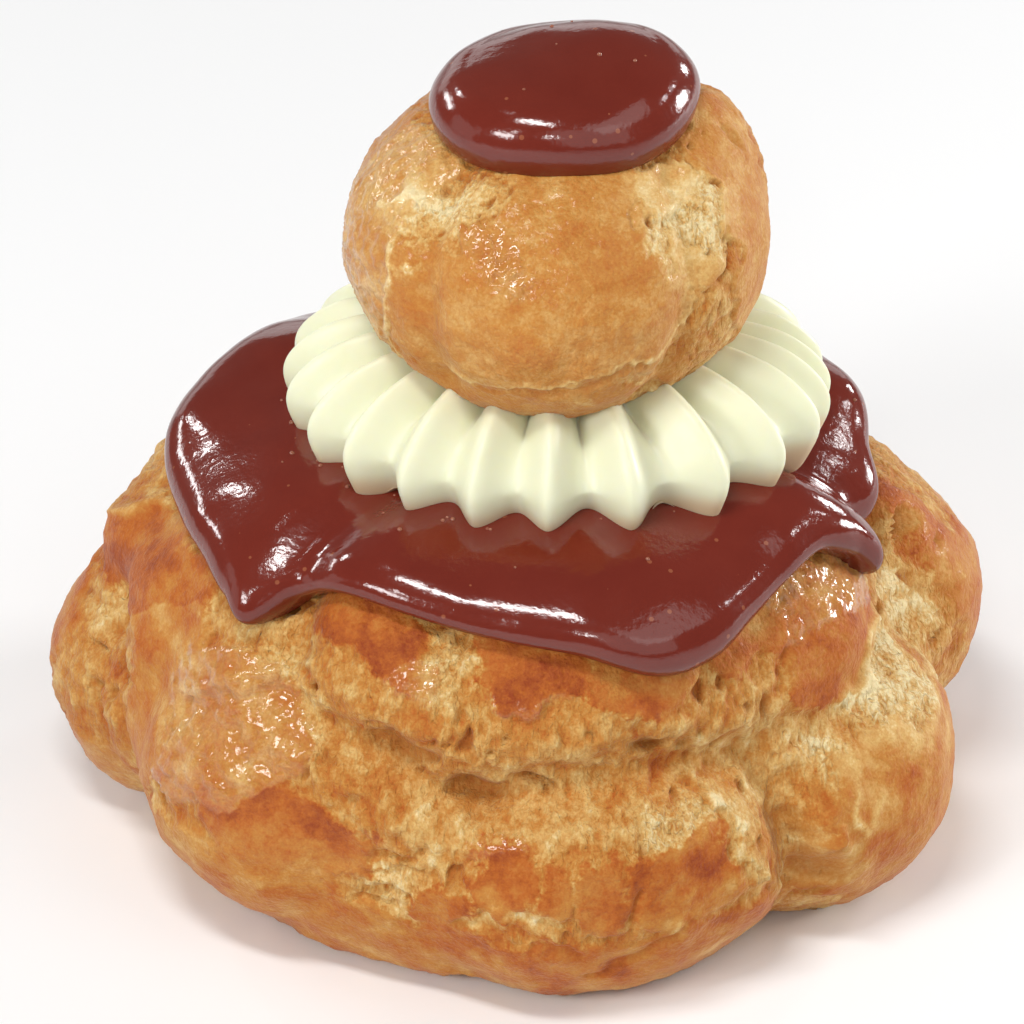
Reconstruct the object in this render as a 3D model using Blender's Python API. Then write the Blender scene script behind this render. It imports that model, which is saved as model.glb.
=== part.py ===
"""Chocolate religieuse: a small choux bun on a large one, with a piped cream collar between them
and thick chocolate icing on each bun.

Blender 4.5, metres, +Z up. The origin is on the table under the middle of the large bun, and the
side to look at faces -Y. Each bun is a ball pushed out to a boxy core and to the lobes that the
rising dough made, then cut by the splits of its crust. The icings follow the buns' own surfaces.
Pieces that touch keep GAP between them.
"""
from collections import namedtuple
from math import atan2, cos, pi, radians, sin

import bmesh
import bpy
import numpy as np

MM = 0.001
GAP = 0.3 * MM
# How far above its bun an icing's underside runs, clear of the flats of both meshes.
UNDER_ICING = 0.8 * MM

# A lobe is an ellipsoid. azimuth is in degrees from +X towards +Y, so the front is 270; out and
# up place its centre from the bun's heart; across, deep and tall are its half axes.
Lobe = namedtuple("Lobe", "azimuth out up across deep tall")
# A split runs along the surface between two directions, each an azimuth and a rise in degrees.
Split = namedtuple("Split", "start end width depth")
# boxiness is the exponent of the core's outline: 2 is an ellipse, and more is squarer.
Bun = namedtuple("Bun", "heart half_width half_height boxiness lobes splits")
# The outline is a ring of (azimuth, spread), the spread in degrees from straight up.
# shoulder is how far in from its edge the icing begins to round down.
Icing = namedtuple("Icing", "bun thickness shoulder outline")
Finish = namedtuple("Finish", "colour roughness")


def lobe(azimuth, *sizes):
    """A Lobe whose sizes are given in millimetres."""
    return Lobe(azimuth, *(size * MM for size in sizes))


LARGE_HEIGHT = 40.5 * MM
LARGE_HEART = 17 * MM
LARGE_BUN = Bun(
    heart=(0, 0, LARGE_HEART),
    half_width=33 * MM,
    half_height=LARGE_HEIGHT - LARGE_HEART,
    boxiness=3.0,
    lobes=[
        # The upper ring, whose tops carry the icing.
        lobe(18, 26.4, 1, 16, 16.5, 17),
        lobe(25, 17, 9.5, 13, 13, 13.5),
        lobe(60, 19, 8, 13, 14, 14),
        lobe(100, 18, 7.5, 15, 15, 14),
        lobe(146, 19, 10, 13, 13, 13.5),
        lobe(166, 21, 7, 14, 14, 13.5),
        lobe(243, 18, 7.5, 13, 14, 14),
        lobe(283, 18, 7.5, 15, 15, 14),
        lobe(331, 19, 7, 12, 13.5, 15),
        # The lower ring, on the table.
        lobe(68, 22, -6, 15, 16, 14),
        lobe(122, 22, -5, 15, 16, 14),
        lobe(174, 27.8, -4.5, 13.5, 13.5, 13),
        lobe(219, 24.5, -3.5, 14, 12.5, 12.5),
        lobe(287, 22.5, -5, 18, 14.5, 14),
        lobe(338, 25.5, -5.5, 15, 15, 14),
    ],
    splits=[
        # The torn belt round the front.
        Split((231, 18), (259, 9), 2.6 * MM, 2.4 * MM),
        Split((259, 9), (284, 12), 2.6 * MM, 2.4 * MM),
        Split((284, 12), (309, 9), 2.6 * MM, 2 * MM),
        # The clefts between the lobes.
        Split((228, 34), (231, 18), 2.4 * MM, 2.2 * MM),
        Split((0, 34), (355, 8), 2.8 * MM, 3 * MM),
        Split((188, 10), (192, -22), 2.4 * MM, 2 * MM),
        Split((309, 9), (315, -28), 2.6 * MM, 2 * MM),
        # The back.
        Split((75, 10), (105, 14), 2.6 * MM, 2.2 * MM),
        Split((105, 14), (140, 8), 2.6 * MM, 2.2 * MM),
        Split((90, 12), (96, -24), 2.6 * MM, 2 * MM),
    ],
)

SMALL_BUN = Bun(
    heart=(3.6 * MM, 0, 58.5 * MM),
    half_width=17.5 * MM,
    half_height=13 * MM,
    boxiness=2.2,
    lobes=[
        lobe(15, 6, 4, 10, 12, 10),
        lobe(90, 5, 0, 15, 13.5, 12),
        lobe(190, 5, 0, 14, 13, 12),
        lobe(265, 5, -0.5, 14, 13.5, 12),
        lobe(345, 5, 0, 13, 13, 12),
    ],
    splits=[
        Split((222, 45), (236, -20), 1.6 * MM, 0.9 * MM),
        Split((322, 40), (300, -25), 1.6 * MM, 0.9 * MM),
    ],
)

LARGE_ICING = Icing(
    bun=LARGE_BUN,
    thickness=2.6 * MM,
    shoulder=4 * MM,
    outline=[
        (0, 65), (18, 62), (40, 54), (66, 55), (90, 60), (110, 56), (130, 50), (148, 50),
        (166, 55), (182, 59), (196, 59.5), (207, 60), (217, 62), (223, 63), (228, 57), (236, 54),
        (247, 54), (267, 56.5), (280, 59), (292, 63), (300, 63), (314, 58.5), (327, 58),
        (336, 65), (347, 66),
    ],
)
SMALL_ICING = Icing(
    bun=SMALL_BUN,
    thickness=3 * MM,
    shoulder=3 * MM,
    outline=[(0, 40), (50, 38), (90, 38), (130, 38), (180, 39.5), (225, 40), (270, 41), (315, 41)],
)

CREAM_TEETH = 24
CREAM_DEPTH = 2 * MM
CREAM_MIDDLE = (3.9 * MM, -0.6 * MM)
# The collar leans down to the right.
CREAM_SLOPE = 0.035
# The collar's section through a ridge, as (radius, height) in millimetres from the bottom up.
CREAM_SECTION = [(8, 39), (19, 39), (22.8, 43.8), (23.6, 46), (22.2, 48), (17.5, 49.4), (8, 50)]

CHOUX = Finish(colour=(0.55, 0.25, 0.07), roughness=0.5)
CHOCOLATE = Finish(colour=(0.2, 0.035, 0.02), roughness=0.15)
CREAM = Finish(colour=(0.88, 0.84, 0.58), roughness=0.45)


def unit(azimuth, rise):
    """The direction with this azimuth and rise above the horizon, in degrees."""
    a, e = radians(azimuth), radians(rise)
    return np.array([cos(a) * cos(e), sin(a) * cos(e), sin(e)])


def reach_of_core(directions, bun):
    across = np.hypot(directions[:, 0], directions[:, 1]) / bun.half_width
    tall = np.abs(directions[:, 2]) / bun.half_height
    return (across**bun.boxiness + tall**bun.boxiness) ** (-1 / bun.boxiness)


def reach_of_lobe(directions, lobe):
    """How far along each direction the lobe's far side lies, or 0 where the line misses it."""
    a = radians(lobe.azimuth)
    axes = np.array([[-sin(a), cos(a), 0], [cos(a), sin(a), 0], [0, 0, 1]])
    half = np.array([lobe.across, lobe.deep, lobe.tall])
    line = directions @ axes.T / half
    centre = np.array([0, lobe.out, lobe.up]) / half
    square = (line**2).sum(axis=1)
    along = line @ centre
    inside = along**2 - square * (centre @ centre - 1)
    return np.where(inside > 0, (along + np.sqrt(np.maximum(inside, 0))) / square, 0)


def soft_max(values, softness):
    peak = values.max(axis=0)
    return peak + softness * np.log(np.exp((values - peak) / softness).sum(axis=0))


def angle_to_arc(directions, start, end):
    """The angle between each direction and the nearest point of the arc from start to end."""
    normal = np.cross(start, end)
    normal /= np.linalg.norm(normal)
    beside = (np.cross(start, directions) @ normal > 0) & (np.cross(directions, end) @ normal > 0)
    off_plane = np.abs(np.arcsin(np.clip(directions @ normal, -1, 1)))
    nearer_end = np.maximum(directions @ start, directions @ end)
    return np.where(beside, off_plane, np.arccos(np.clip(nearer_end, -1, 1)))


def smooth_reach(directions, bun, softness):
    """The radius, from the bun's heart, of its core and lobes blended together."""
    shapes = [reach_of_core(directions, bun)]
    shapes += [reach_of_lobe(directions, lobe) for lobe in bun.lobes]
    return soft_max(np.array(shapes), softness)


def split_reach(directions, bun):
    """The bun's radius with its splits cut in."""
    reach = smooth_reach(directions, bun, softness=0.6 * MM)
    cuts = []
    for split in bun.splits:
        away = angle_to_arc(directions, unit(*split.start), unit(*split.end)) * reach
        cuts.append(split.depth * np.exp(-((away / split.width) ** 2)))
    return reach - np.max(cuts, axis=0)


def to_mesh(name, shape):
    mesh = bpy.data.meshes.new(name)
    shape.to_mesh(mesh)
    shape.free()
    mesh.shade_smooth()
    return mesh


def bun_mesh(name, bun, fineness, grow=0.0):
    ball = bmesh.new()
    bmesh.ops.create_icosphere(ball, subdivisions=fineness, radius=1)
    directions = np.array([vert.co.normalized() for vert in ball.verts])
    reach = split_reach(directions, bun) + grow
    for vert, point in zip(ball.verts, directions * reach[:, None] + bun.heart):
        vert.co = point
    return to_mesh(name, ball)


def moulded_ball(name, columns, rows):
    """A globe whose parallels are moved to rows, each with a point for every meridian.

    The rows run from the bottom up, and the first and the last shrink to their middle points.
    """
    steps = len(rows) - 1
    ball = bmesh.new()
    bmesh.ops.create_uvsphere(ball, u_segments=columns, v_segments=steps, radius=1)
    for vert in ball.verts:
        x, y, z = vert.co
        row = round((atan2(z, np.hypot(x, y)) / pi + 0.5) * steps)
        column = round(atan2(y, x) / (2 * pi) * columns) % columns
        is_pole = row in (0, steps)
        vert.co = rows[row].mean(axis=0) if is_pole else rows[row][column]
    return to_mesh(name, ball)


def ring_curve(points, azimuths):
    """A smooth closed curve through (azimuth, value) points, read at the azimuths."""
    places, values = np.array(points, float).T
    count = len(points)
    step = np.searchsorted(places, azimuths, side="right") - 1
    width = (places[(step + 1) % count] - places[step]) % 360
    t = (azimuths - places[step]) / width
    before, here, after, later = (values[(step + k) % count] for k in (-1, 0, 1, 2))
    return (
        (2 * t**3 - 3 * t**2 + 1) * here
        + (t**3 - 2 * t**2 + t) * (after - before) / 2
        + (3 * t**2 - 2 * t**3) * after
        + (t**3 - t**2) * (later - here) / 2
    )


def icing_mesh(name, icing, columns, rows_across, grow=0.0, under=UNDER_ICING):
    """The icing, which follows its bun's surface over the splits and rounds over at its edge."""
    bun = icing.bun
    azimuths = np.arange(columns) * 360 / columns
    edge = np.radians(ring_curve(icing.outline, azimuths))
    turned = np.radians(azimuths)

    def row(inward, height, share=1.0):
        """The points this far in from the edge, or share of the way to it, and this far up."""
        spread = (edge - inward / bun.half_width) * share
        flat = [np.cos(turned) * np.sin(spread), np.sin(turned) * np.sin(spread), np.cos(spread)]
        directions = np.stack(flat, axis=1)
        reach = smooth_reach(directions, bun, softness=1.2 * MM)
        return bun.heart + directions * (reach + height)[:, None]

    lip = 0.45 * icing.thickness
    shoulder = icing.shoulder
    top = icing.thickness + grow
    flat_under = [row(shoulder, under, share) for share in np.linspace(0, 1, rows_across)]
    flat_under.append(row(1.3 * lip, under))
    round_under = [
        row(lip * (1 - cos(turn)) - grow, under + (lip - under) * (1 + sin(turn)))
        for turn in np.radians([-60, -30])
    ]
    round_over = [
        row(shoulder * (1 - cos(turn)) - grow, lip + (top - lip) * sin(turn))
        for turn in np.radians([0, 30, 60, 90])
    ]
    flat_over = [row(shoulder, top, share) for share in np.linspace(1, 0, rows_across)[1:]]
    return moulded_ball(name, columns, flat_under + round_under + round_over + flat_over)


def cream_mesh(name):
    """The collar as one star-nozzle dollop, whose skin sinks between its ridges."""
    columns = CREAM_TEETH * 4
    turn = np.arange(columns) / columns
    into_valley = 1 - np.abs(2 * ((turn * CREAM_TEETH) % 1) - 1)
    outward = np.stack([np.cos(2 * pi * turn), np.sin(2 * pi * turn), 0 * turn], axis=1)
    section = np.array(CREAM_SECTION) * MM
    widest = section[:, 0].max()
    rows = []
    for radius, height in section:
        sink = CREAM_DEPTH * radius / widest * into_valley
        ring = outward * (radius - sink)[:, None]
        ring[:, 2] = height - CREAM_SLOPE * ring[:, 0]
        rows.append(ring + [*CREAM_MIDDLE, 0])
    return moulded_ball(name, columns, rows)


def material(name, finish):
    made = bpy.data.materials.new(name)
    made.use_nodes = True
    shader = made.node_tree.nodes["Principled BSDF"]
    shader.inputs["Base Color"].default_value = (*finish.colour, 1)
    shader.inputs["Roughness"].default_value = finish.roughness
    shader.inputs["Metallic"].default_value = 0
    return made


def cut(obj, cutter):
    modifier = obj.modifiers.new("cut by " + cutter.name, "BOOLEAN")
    modifier.operation = "DIFFERENCE"
    modifier.object = cutter


def main():
    for obj in list(bpy.data.objects):
        bpy.data.objects.remove(obj)
    parts = bpy.data.collections.new("religieuse")
    cutters = bpy.data.collections.new("cutters")
    for collection in (parts, cutters):
        bpy.context.scene.collection.children.link(collection)

    def add_part(mesh, finish):
        obj = bpy.data.objects.new(mesh.name, mesh)
        parts.objects.link(obj)
        mesh.materials.append(material(mesh.name, finish))
        return obj

    def add_cutter(mesh):
        obj = bpy.data.objects.new(mesh.name, mesh)
        cutters.objects.link(obj)
        obj.hide_render = True
        obj.display_type = "WIRE"
        return obj

    large = add_part(bun_mesh("large_choux", LARGE_BUN, 5), CHOUX)
    add_part(bun_mesh("small_choux", SMALL_BUN, 4), CHOUX)
    add_part(icing_mesh("large_icing", LARGE_ICING, 72, 4), CHOCOLATE)
    add_part(icing_mesh("small_icing", SMALL_ICING, 30, 3), CHOCOLATE)
    cream = add_part(cream_mesh("cream_collar"), CREAM)

    below_table = bmesh.new()
    bmesh.ops.create_cube(below_table, size=0.2)
    table = add_cutter(to_mesh("table_cutter", below_table))
    table.location = (0, 0, -0.1)
    cut(large, table)
    over_icing = icing_mesh("icing_cutter", LARGE_ICING, 72, 4, grow=GAP, under=-10 * MM)
    cut(cream, add_cutter(over_icing))
    cut(cream, add_cutter(bun_mesh("small_choux_cutter", SMALL_BUN, 4, grow=GAP)))


main()
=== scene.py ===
"""Looks of the chocolate religieuse: crusts, icings and cream made as fine meshes over the CAD solids.

The buns' forms follow the CAD source's, and the icings and the cream refine theirs. Relief is added:
browned plates of skin, torn and porous dough between them, pockets, wrinkles and sharp crests of
cream. Metres, +Z up, and the front faces -Y.
"""
from collections import namedtuple
from math import cos, pi, radians, sin
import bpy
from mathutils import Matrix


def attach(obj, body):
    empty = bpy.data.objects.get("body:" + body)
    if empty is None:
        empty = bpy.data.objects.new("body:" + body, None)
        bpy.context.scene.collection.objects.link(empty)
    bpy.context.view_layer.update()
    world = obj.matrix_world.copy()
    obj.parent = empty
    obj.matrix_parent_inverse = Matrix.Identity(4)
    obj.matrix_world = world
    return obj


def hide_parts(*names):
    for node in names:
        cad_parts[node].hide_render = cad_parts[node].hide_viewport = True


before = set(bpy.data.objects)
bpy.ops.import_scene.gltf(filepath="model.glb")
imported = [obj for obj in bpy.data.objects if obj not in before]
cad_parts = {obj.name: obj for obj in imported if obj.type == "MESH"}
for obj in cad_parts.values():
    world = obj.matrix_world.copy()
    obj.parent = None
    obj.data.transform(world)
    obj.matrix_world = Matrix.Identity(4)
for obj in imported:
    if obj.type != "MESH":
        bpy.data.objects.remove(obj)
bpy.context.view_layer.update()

from types import SimpleNamespace

import bmesh
import bpy
import numpy as np
from mathutils import Matrix, Vector, noise

MM = 0.001

# ---------------- the main forms

# A lobe is an ellipsoid. azimuth is in degrees from +X towards +Y, so the front is 270; out and
# up place its centre from the bun's heart; across, deep and tall are its half axes.
Lobe = namedtuple("Lobe", "azimuth out up across deep tall")
# A split runs along the surface between two directions, each an azimuth and a rise in degrees. Its
# width and depth are in millimetres.
Split = namedtuple("Split", "start end width depth")
# boxiness is the exponent of the core's outline: 2 is an ellipse, and more is squarer.
Bun = namedtuple("Bun", "heart half_width half_height boxiness lobes splits")
# The outline is a ring of (azimuth, spread), the spread in degrees from straight up. rim is how
# much thicker the icing is near its edge, shoulder how far in from the edge it begins to round
# down, and upright how far its thickness is measured straight up and not outwards, from 0 to 1.
Icing = namedtuple("Icing", "bun thickness rim shoulder upright outline")


def lobe(azimuth, *sizes):
    """A Lobe whose sizes are given in millimetres."""
    return Lobe(azimuth, *(size * MM for size in sizes))


LARGE_BUN = Bun(
    heart=(0, 0, 17 * MM),
    half_width=33 * MM,
    half_height=23.5 * MM,
    boxiness=3.0,
    lobes=[
        # The upper ring, whose tops carry the icing.
        lobe(18, 26.4, 1, 16, 16.5, 17),
        lobe(25, 17, 9.5, 13, 13, 13.5),
        lobe(60, 19, 8, 13, 14, 14),
        lobe(100, 18, 7.5, 15, 15, 14),
        lobe(146, 19, 10, 13, 13, 13.5),
        lobe(166, 21, 7, 14, 14, 13.5),
        lobe(243, 18, 7.5, 13, 14, 14),
        lobe(283, 18, 7.5, 15, 15, 14),
        lobe(331, 19, 7, 12, 13.5, 15),
        # The lower ring, on the table.
        lobe(68, 22, -6, 15, 16, 14),
        lobe(122, 22, -5, 15, 16, 14),
        lobe(174, 27.8, -4.5, 13.5, 13.5, 13),
        lobe(219, 24.5, -3.5, 14, 12.5, 12.5),
        lobe(287, 22.5, -5, 18, 14.5, 14),
        lobe(338, 25.5, -5.5, 15, 15, 14),
    ],
    splits=[
        # The torn belt round the front.
        Split((231, 18), (259, 9), 2.6, 2.4),
        Split((259, 9), (284, 12), 2.6, 2.4),
        Split((284, 12), (309, 9), 2.6, 2),
        # The clefts between the lobes.
        Split((228, 34), (231, 18), 2.4, 2.2),
        Split((0, 34), (355, 8), 2.8, 3),
        Split((188, 10), (192, -22), 2.4, 2),
        Split((309, 9), (314, -14), 2.4, 1.8),
        # The back.
        Split((75, 10), (105, 14), 2.6, 2.2),
        Split((105, 14), (140, 8), 2.6, 2.2),
        Split((90, 12), (96, -24), 2.6, 2),
    ],
)

SMALL_BUN = Bun(
    heart=(3.6 * MM, 0, 58.5 * MM),
    half_width=17.5 * MM,
    half_height=13 * MM,
    boxiness=2.2,
    lobes=[
        lobe(15, 6, 4, 10, 12, 10),
        lobe(90, 5, 0, 15, 13.5, 12),
        lobe(190, 5, 0, 14, 13, 12),
        lobe(265, 5, -0.5, 14, 13.5, 12),
        lobe(345, 5, 0, 13, 13, 12),
    ],
    splits=[
        Split((222, 45), (236, -20), 1.6, 0.9),
        Split((322, 40), (300, -25), 1.6, 0.9),
    ],
)

LARGE_ICING = Icing(
    bun=LARGE_BUN,
    thickness=2.6 * MM,
    rim=0.5 * MM,
    shoulder=3.4 * MM,
    upright=0,
    outline=[
        (4, 60), (18, 57.5), (40, 54), (66, 55), (90, 60), (110, 56), (130, 50), (148, 50),
        (166, 55), (182, 59), (196, 59.5), (207, 60), (217, 62), (223, 63.5), (228, 57), (236, 54),
        (247, 54), (267, 56.5), (280, 59), (292, 63.5), (302, 63.5), (312, 60.5), (322, 58.2),
        (331, 58), (338, 62.5), (342, 67.5), (347, 61.5), (354, 65),
    ],
)
SMALL_ICING = Icing(
    bun=SMALL_BUN,
    thickness=4.55 * MM,
    rim=-0.3 * MM,
    shoulder=3.6 * MM,
    upright=0.85,
    outline=[(0, 43), (50, 40), (90, 38), (130, 40), (180, 42.5), (225, 43), (270, 41), (315, 43)],
)

# The azimuth of each tooth's crest; the teeth are widest at the front.
CREAM_CRESTS = [
    2, 12, 25, 39, 53, 67, 81, 95, 109, 123, 137, 151, 164,
    177, 190, 206, 220, 236, 252, 268, 286, 307, 325, 342, 353,
]
CREAM_MIDDLE = (3.6 * MM, -1.0 * MM)
# The collar leans down to the right, and it is less deep than wide.
CREAM_SLOPE = 0.02
CREAM_NARROWING = 0.86
CREAM_TOOTH_DEPTH = 2.5 * MM
# About where the teeth's crests meet the icing, in millimetres from the collar's middle.
CREAM_REACH = 22.5
# The collar's section through a crest, as (radius, height) in millimetres from the bottom up.
CREAM_SECTION = [
    (8, 38.5), (22, 38.5), (22.9, 41), (23.9, 42.8), (24.3, 44.8), (23, 47.1), (19.9, 49.6),
    (15.3, 50.8), (8, 51),
]


def unit(azimuth, rise):
    """The direction with this azimuth and rise above the horizon, in degrees."""
    a, e = radians(azimuth), radians(rise)
    return np.array([cos(a) * cos(e), sin(a) * cos(e), sin(e)])


def reach_of_core(directions, bun):
    """How far along each direction the core's surface lies."""
    across = np.hypot(directions[:, 0], directions[:, 1]) / bun.half_width
    tall = np.abs(directions[:, 2]) / bun.half_height
    return (across**bun.boxiness + tall**bun.boxiness) ** (-1 / bun.boxiness)


def reach_of_lobe(directions, lobe):
    """How far along each direction the lobe's far side lies, or 0 where it is missed."""
    a = radians(lobe.azimuth)
    axes = np.array([[-sin(a), cos(a), 0], [cos(a), sin(a), 0], [0, 0, 1]])
    half = np.array([lobe.across, lobe.deep, lobe.tall])
    line = directions @ axes.T / half
    centre = np.array([0, lobe.out, lobe.up]) / half
    square = (line**2).sum(axis=1)
    along = line @ centre
    inside = along**2 - square * (centre @ centre - 1)
    return np.where(inside > 0, (along + np.sqrt(np.maximum(inside, 0))) / square, 0)


def soft_max(values, softness):
    """The highest of the values, rounded where two of them are nearly equal."""
    peak = values.max(axis=0)
    return peak + softness * np.log(np.exp((values - peak) / softness).sum(axis=0))


def angle_to_arc(directions, start, end):
    """The angle between each direction and the nearest point of the arc from start to end."""
    normal = np.cross(start, end)
    normal /= np.linalg.norm(normal)
    beside = (np.cross(start, directions) @ normal > 0) & (np.cross(directions, end) @ normal > 0)
    off_plane = np.abs(np.arcsin(np.clip(directions @ normal, -1, 1)))
    nearer_end = np.maximum(directions @ start, directions @ end)
    return np.where(beside, off_plane, np.arccos(np.clip(nearer_end, -1, 1)))


def smooth_reach(directions, bun, softness):
    """The radius, from the bun's heart, of its core and lobes blended together."""
    shapes = [reach_of_core(directions, bun)]
    shapes += [reach_of_lobe(directions, lobe) for lobe in bun.lobes]
    return soft_max(np.array(shapes), softness)


def split_depth(directions, reach, splits):
    """How far the splits sink each point, in metres."""
    cuts = []
    for split in splits:
        away = angle_to_arc(directions, unit(*split.start), unit(*split.end)) * reach
        cuts.append(split.depth * MM * np.exp(-((away / (split.width * MM)) ** 2)))
    return np.max(cuts, axis=0)


def ring_curve(points, azimuths):
    """A smooth closed curve through (azimuth, value) points, read at the azimuths."""
    places, values = np.array(points, float).T
    count = len(points)
    step = np.searchsorted(places, azimuths, side="right") - 1
    width = (places[(step + 1) % count] - places[step]) % 360
    t = ((azimuths - places[step]) % 360) / width
    before, here, after, later = (values[(step + k) % count] for k in (-1, 0, 1, 2))
    return (
        (2 * t**3 - 3 * t**2 + 1) * here
        + (t**3 - 2 * t**2 + t) * (after - before) / 2
        + (3 * t**2 - 2 * t**3) * after
        + (t**3 - t**2) * (later - here) / 2
    )


# ---------------- noise and mesh helpers


def smooth_step(low, high, value):
    """From 0 at low to 1 at high, with soft ends."""
    t = np.clip((value - low) / (high - low), 0, 1)
    return t * t * (3 - 2 * t)


def soft_noise(points, size, seed=0, octaves=1):
    """Noise around 0 whose blobs are about this size in millimetres."""
    places = (points / (size * MM) + 19.7 * seed).tolist()
    if octaves > 1:
        return np.array([noise.fractal(place, 1.0, 2.1, octaves) for place in places])
    return np.array([noise.noise(place) for place in places])


def ridges(points, size, seed=0):
    """Noise with sharp crests, from about -1 in the hollows to 1 on the crests."""
    return 1 - 4 * np.abs(soft_noise(points, size, seed))


def wander(points, amount, size, seed):
    """The points, moved about by up to roughly this amount in millimetres."""
    shift = [soft_noise(points, size, seed + axis) for axis in range(3)]
    return points + np.stack(shift, axis=1) * (1.6 * amount * MM)


def closed_grid(name, rows, **layers):
    """A closed smooth mesh through rows of points from the bottom up, ended by fans.

    Each layer is a value for every point of the rows, kept as an attribute of that name.
    """
    count = len(rows[0])
    ring = np.arange(count)
    after = np.roll(ring, -1)
    points = np.concatenate([[rows[0].mean(axis=0)], *rows, [rows[-1].mean(axis=0)]])
    faces = [[0, 1 + b, 1 + a] for a, b in zip(ring, after)]
    for step in range(len(rows) - 1):
        low = 1 + step * count
        high = low + count
        faces += np.stack([low + ring, low + after, high + after, high + ring], axis=1).tolist()
    top = 1 + (len(rows) - 1) * count
    faces += [[top + a, top + b, len(points) - 1] for a, b in zip(ring, after)]
    mesh = bpy.data.meshes.new(name)
    mesh.from_pydata(points.tolist(), [], faces)
    mesh.shade_smooth()
    for layer, values in layers.items():
        values = np.concatenate([[values[:count].mean()], values, [values[-count:].mean()]])
        attribute = mesh.attributes.new(layer, "FLOAT", "POINT")
        attribute.data.foreach_set("value", values.astype(np.float32))
    return mesh


def add_piece(mesh, finish, node):
    """Adds the mesh as a piece that replaces this node, or none where node is None."""
    piece = bpy.data.objects.new(mesh.name, mesh)
    bpy.context.scene.collection.objects.link(piece)
    mesh.materials.append(finish)
    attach(piece, "root")
    if node:
        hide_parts(node)


# ---------------- crusts

# A plate is a patch of skin: its middle as azimuth and rise, its half sizes in millimetres and its
# turn in degrees. brown is how browned it is and wrinkled how leathery, both from 0 to 1. lean is
# how much browner its lower edge is than its middle, or its upper edge where lean is below 0.
Plate = namedtuple("Plate", "azimuth rise across tall brown wrinkled lean turn", defaults=[0, 0])
# A pocket is a smooth-walled hollow in the dough, placed in the same way. depth is in millimetres.
Pocket = namedtuple("Pocket", "azimuth rise across tall depth turn", defaults=[0])
# A mound is a soft rise, or a hollow below 0, placed in the same way. height is in millimetres.
Mound = namedtuple("Mound", "azimuth rise across tall height turn", defaults=[0])
# A tint makes a patch placed in the same way paler, below 0, or browner.
Tint = namedtuple("Tint", "azimuth rise across tall shift turn", defaults=[0])
# A seam is a thin line from one direction to another, raised, or sunk below 0. Its width and raised
# are in millimetres, and its shift makes it paler or browner, like a tint's.
Seam = namedtuple("Seam", "start end width raised shift")

# spreads are the rows of its grid, in degrees from straight up, and columns their count of points.
# grain is the size of its relief, and bold how broad its plates' edges and how strong its mottling
# are, both as shares of the large bun's. torn is how browned the dough between the plates is.
Crust = namedtuple(
    "Crust",
    "bun icing plates pockets mounds tints seams spreads columns grain bold torn",
)

# The brownest that a crust gets, below 1 so that the material's specks still show on it.
DARKEST = 0.89


def seam_chain(directions, *sizes):
    """Seams from each direction to the next."""
    return [Seam(start, end, *sizes) for start, end in zip(directions, directions[1:])]


LARGE_PLATES = [
    # Under the icing's rim, from the left to the right.
    Plate(191, 21, 10, 4.6, 0.7, 0.05, 0.1, turn=16),
    Plate(242, 32.8, 6, 3.1, 0.77, 0.03, 0.08, turn=-12),
    Plate(251.5, 28, 3.4, 1.5, 0.66, 1, turn=-14),
    Plate(273.5, 29.8, 4.6, 3.6, 0.76, 0.03, 0.08, turn=-12),
    Plate(272.5, 25.6, 3.4, 1.2, 0.7, 1, turn=-12),
    Plate(289, 26.5, 5.4, 2.8, 0.64, 0.08, 0.1, turn=-12),
    Plate(309, 27, 5, 3, 0.62, 0.15, 0.05, turn=-10),
    Plate(329, 25.5, 7.4, 3.9, 0.58, 1, 0.05, turn=-8),
    Plate(328, 17.5, 7, 3.6, 0.68, 0.05, 0.05, turn=-8),
    # The right lobe.
    Plate(4.5, 13, 2.2, 8, 0.58, 0.1, turn=6),
    Plate(9, -2, 5, 9, 0.58, 0.1),
    # The left lobe and the yellow belly beside it.
    Plate(172, -5, 6, 10, 0.56, 0.1),
    Plate(188, -17, 6, 4, 0.52, 0.2),
    Plate(205, 4, 4.5, 7, 0.52, 0.05),
    Plate(220.5, 9, 8.4, 6.6, 0.52, 1, turn=20),
    Plate(205, 16, 5, 4, 0.5, 0.1),
    # The lower ring, whose skin reaches the table.
    Plate(234.5, -3, 7.8, 4.4, 0.66, 0.2, -0.14, turn=-6),
    Plate(236, 0.6, 6.4, 1, 0.7, 1, turn=-6),
    Plate(221, -17, 13, 7, 0.56, 0.03),
    Plate(258.7, -9.8, 2.8, 2.8, 0.64, 0.05, -0.05),
    Plate(267.3, -3.3, 3.2, 3.1, 0.72, 0.1, -0.12),
    Plate(267, 1.2, 2.6, 0.8, 0.7, 1),
    Plate(275.3, -4, 1.8, 1.9, 0.64, 0.1, -0.05),
    Plate(281.4, -4.4, 2.4, 3, 0.68, 0.1, -0.05),
    Plate(293, -4.5, 5.6, 4.2, 0.64, 0.05, -0.12),
    Plate(284, -19.5, 16, 5.6, 0.58, 0.05, -0.08),
    Plate(250, -22, 9, 4.5, 0.56, 0.03),
    Plate(334, -9, 11.5, 8.4, 0.56, 0.05, 0.05),
]
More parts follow.
